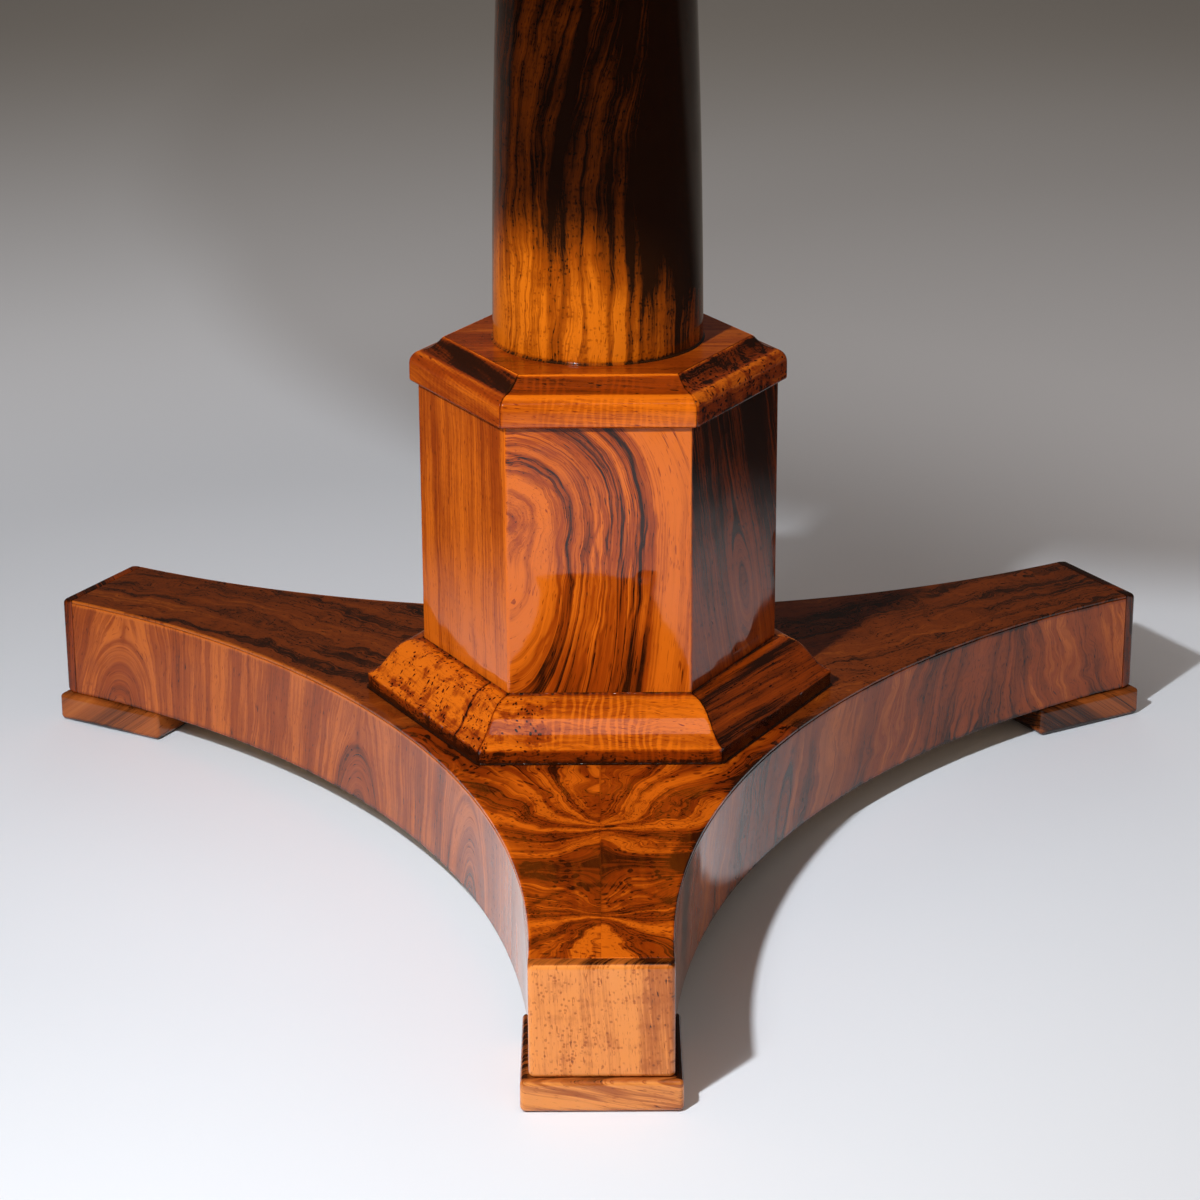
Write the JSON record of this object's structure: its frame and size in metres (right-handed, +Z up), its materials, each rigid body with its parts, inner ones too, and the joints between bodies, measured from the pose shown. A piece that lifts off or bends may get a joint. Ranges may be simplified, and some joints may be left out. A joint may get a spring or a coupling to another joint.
{
  "type": "salon table",
  "caption": "Round tilt-top salon table in polished walnut veneer: tapered column on a moulded hexagonal pedestal and a concave-sided three-armed plinth with block feet.",
  "frame": {"origin": "on the floor, under the axis of the column", "axes": "+Z up; one arm of the plinth points along -Y; the pins of the tilting top lie along X on the +Y side of the column"},
  "size_m": [1.06, 1.06, 0.77],
  "materials": {
    "walnut_veneer": "French-polished walnut veneer, figured, glossy",
    "walnut_solid": "polished solid walnut, mouldings and edges",
    "walnut_feet": "polished solid walnut, worn",
    "softwood": "plain softwood, hidden or unpolished",
    "beech": "plain beech, oiled",
    "iron": "dark forged iron",
    "brass": "dull aged brass"
  },
  "bodies": {
    "base": {"base_moulding_back": "walnut_solid", "base_moulding_back_left": "walnut_solid", "base_moulding_back_right": "walnut_solid", "base_moulding_front": "walnut_solid", "base_moulding_front_left": "walnut_solid", "base_moulding_front_right": "walnut_solid", "cap_board": "walnut_solid", "cap_moulding_back": "walnut_solid", "cap_moulding_back_left": "walnut_solid", "cap_moulding_back_right": "walnut_solid", "cap_moulding_front": "walnut_solid", "cap_moulding_front_left": "walnut_solid", "cap_moulding_front_right": "walnut_solid", "column_core": "softwood", "column_veneer": "walnut_veneer", "foot_front": "walnut_feet", "foot_left": "walnut_feet", "foot_right": "walnut_feet", "pedestal_board_back": "softwood", "pedestal_board_back_left": "softwood", "pedestal_board_back_right": "softwood", "pedestal_board_front": "softwood", "pedestal_board_front_left": "softwood", "pedestal_board_front_right": "softwood", "pedestal_veneer_back": "walnut_veneer", "pedestal_veneer_back_left": "walnut_veneer", "pedestal_veneer_back_right": "walnut_veneer", "pedestal_veneer_front": "walnut_veneer", "pedestal_veneer_front_left": "walnut_veneer", "pedestal_veneer_front_right": "walnut_veneer", "pivot_pin_left": "iron", "pivot_pin_right": "iron", "plinth_arm_front": "softwood", "plinth_arm_left": "softwood", "plinth_arm_right": "softwood", "plinth_end_panel_front": "walnut_solid", "plinth_end_panel_left": "walnut_solid", "plinth_end_panel_right": "walnut_solid", "plinth_side_veneer_back": "walnut_veneer", "plinth_side_veneer_front_left": "walnut_veneer", "plinth_side_veneer_front_right": "walnut_veneer", "plinth_top_veneer_front": "walnut_veneer", "plinth_top_veneer_left": "walnut_veneer", "plinth_top_veneer_right": "walnut_veneer", "strike_plate": "brass", "tilt_block": "beech"},
    "top": {"apron_quarter_1": "softwood", "apron_quarter_2": "softwood", "apron_quarter_3": "softwood", "apron_quarter_4": "softwood", "apron_veneer": "walnut_veneer", "bearer_left": "beech", "bearer_right": "beech", "bolt_guide": "brass", "top_core": "softwood", "top_edge_band": "walnut_solid", "top_veneer": "walnut_veneer"},
    "bolt": {"sliding_bolt": "brass"}
  },
  "joints": [
    {"name": "top_tilt", "type": "hinge", "parent": "base", "child": "top", "pos_m": [0, 0.15, 0.7224], "axis": [-1, 0, 0], "range_deg": [0, 90]},
    {"name": "bolt_slide", "type": "slide", "parent": "top", "child": "bolt", "axis": [0, 1, 0], "range_m": [0, 0.018]}
  ]
}
